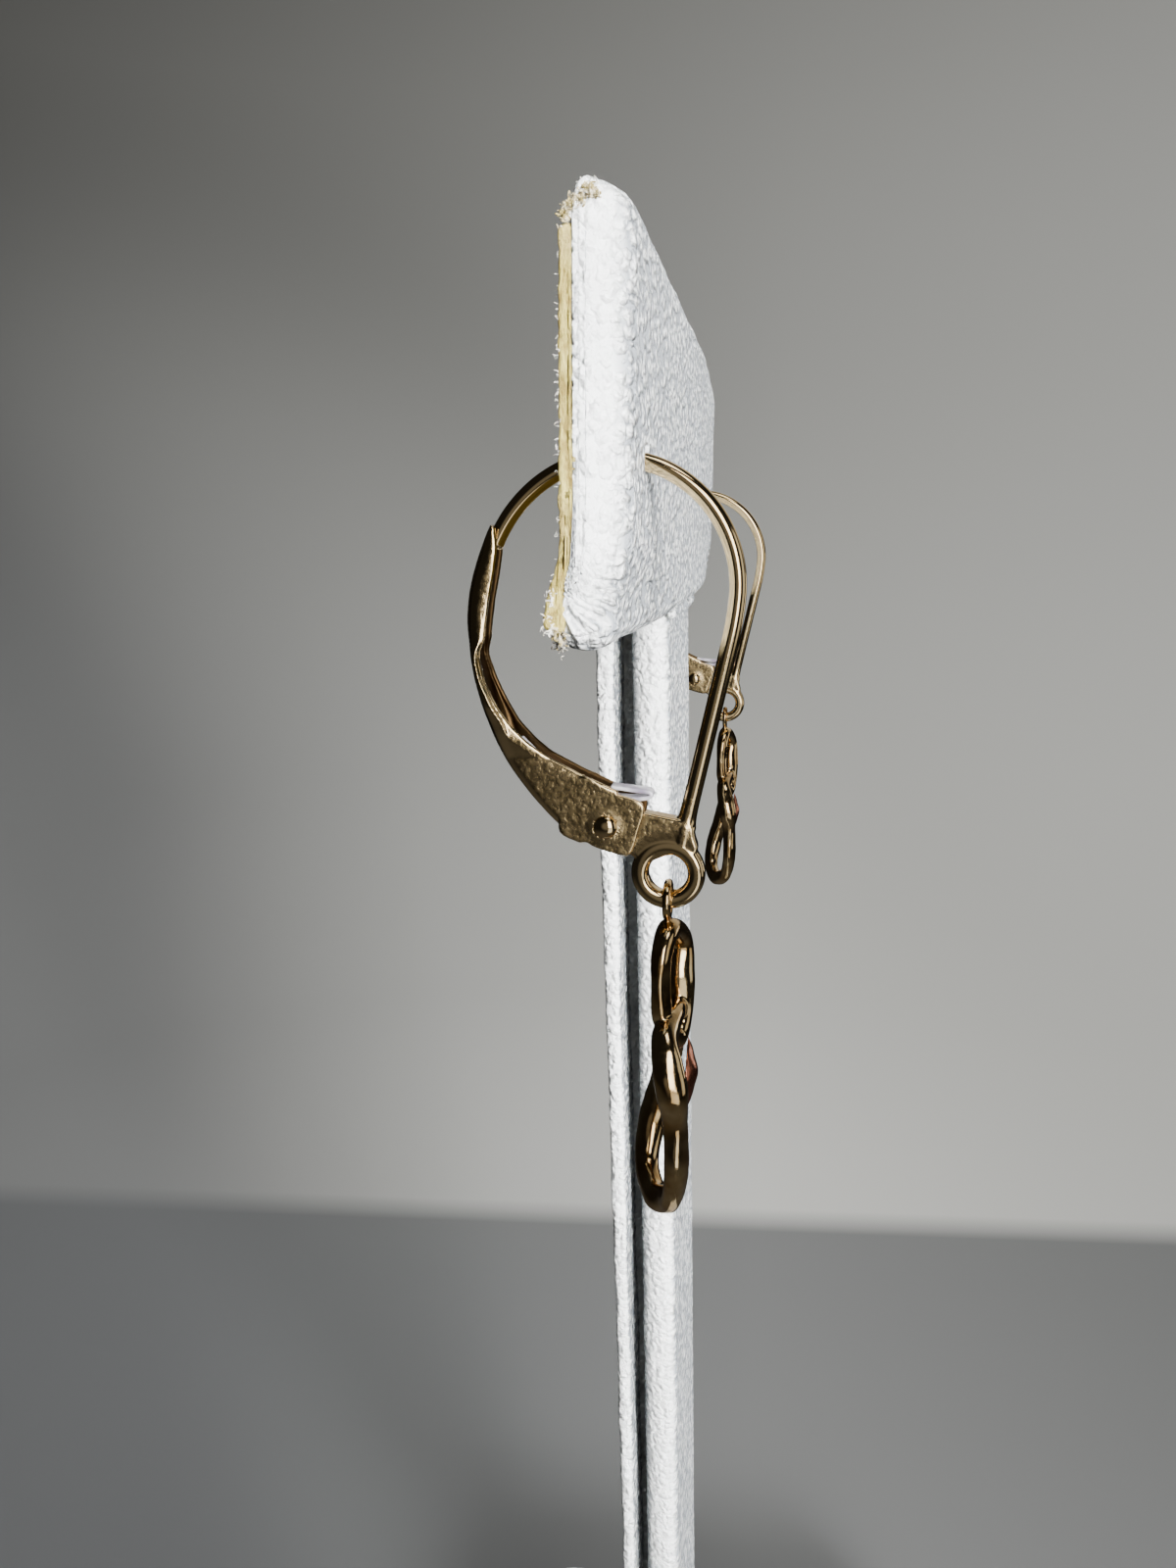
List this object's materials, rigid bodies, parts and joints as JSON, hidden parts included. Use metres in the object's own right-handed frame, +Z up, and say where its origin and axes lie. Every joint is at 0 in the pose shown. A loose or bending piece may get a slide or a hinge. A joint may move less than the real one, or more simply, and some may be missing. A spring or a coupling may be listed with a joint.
{
  "type": "pair of leverback drop earrings on a display stand",
  "caption": "Yellow gold leverback drop earrings with hinged levers and hanging cast loops, worn through the two holes of a white T-shaped display stand.",
  "frame": {"origin": "middle of the underside of the stand's base", "axes": "+Z is up, X runs along the head bar from one earring to the other, -Y is the front of the stand"},
  "size_m": [0.054, 0.04, 0.116],
  "materials": {
    "leatherette": "white fine-grained leatherette wrapped over board, satin",
    "backing_card": "yellowed fibrous card with a frayed edge",
    "yellow_gold": "polished yellow gold, dull on the cast cheeks",
    "rose_gold": "polished rose gold",
    "spring_steel": "bright rolled strip"
  },
  "bodies": {
    "stand": {"stand_base": "leatherette", "stand_post": "leatherette", "post_back_strip": "leatherette", "stand_head": "leatherette", "head_backing": "backing_card", "ear_hook_left": "yellow_gold", "ear_hook_right": "yellow_gold"},
    "lever_left": {"lever_left": "yellow_gold", "rivet_left": "yellow_gold", "spring_leaf_left": "spring_steel"},
    "lever_right": {"lever_right": "yellow_gold", "rivet_right": "yellow_gold", "spring_leaf_right": "spring_steel"},
    "drop_left": {"drop_left": "yellow_gold", "leaf_left": "rose_gold"},
    "drop_right": {"drop_right": "yellow_gold", "leaf_right": "rose_gold"}
  },
  "joints": [
    {"name": "lever_hinge_left", "type": "hinge", "parent": "stand", "child": "lever_left", "pos_m": [-0.022, 0.00637, 0.09455], "axis": [-1, 0, 0], "range_deg": [0, 65]},
    {"name": "lever_hinge_right", "type": "hinge", "parent": "stand", "child": "lever_right", "pos_m": [0.022, 0.00637, 0.09455], "axis": [-1, 0, 0], "range_deg": [0, 65]},
    {"name": "drop_swing_left", "type": "hinge", "parent": "stand", "child": "drop_left", "pos_m": [-0.022, 0.004, 0.0927], "axis": [1, 0, 0], "range_deg": [-110, 70]},
    {"name": "drop_swing_right", "type": "hinge", "parent": "stand", "child": "drop_right", "pos_m": [0.022, 0.004, 0.0927], "axis": [1, 0, 0], "range_deg": [-110, 70]}
  ]
}
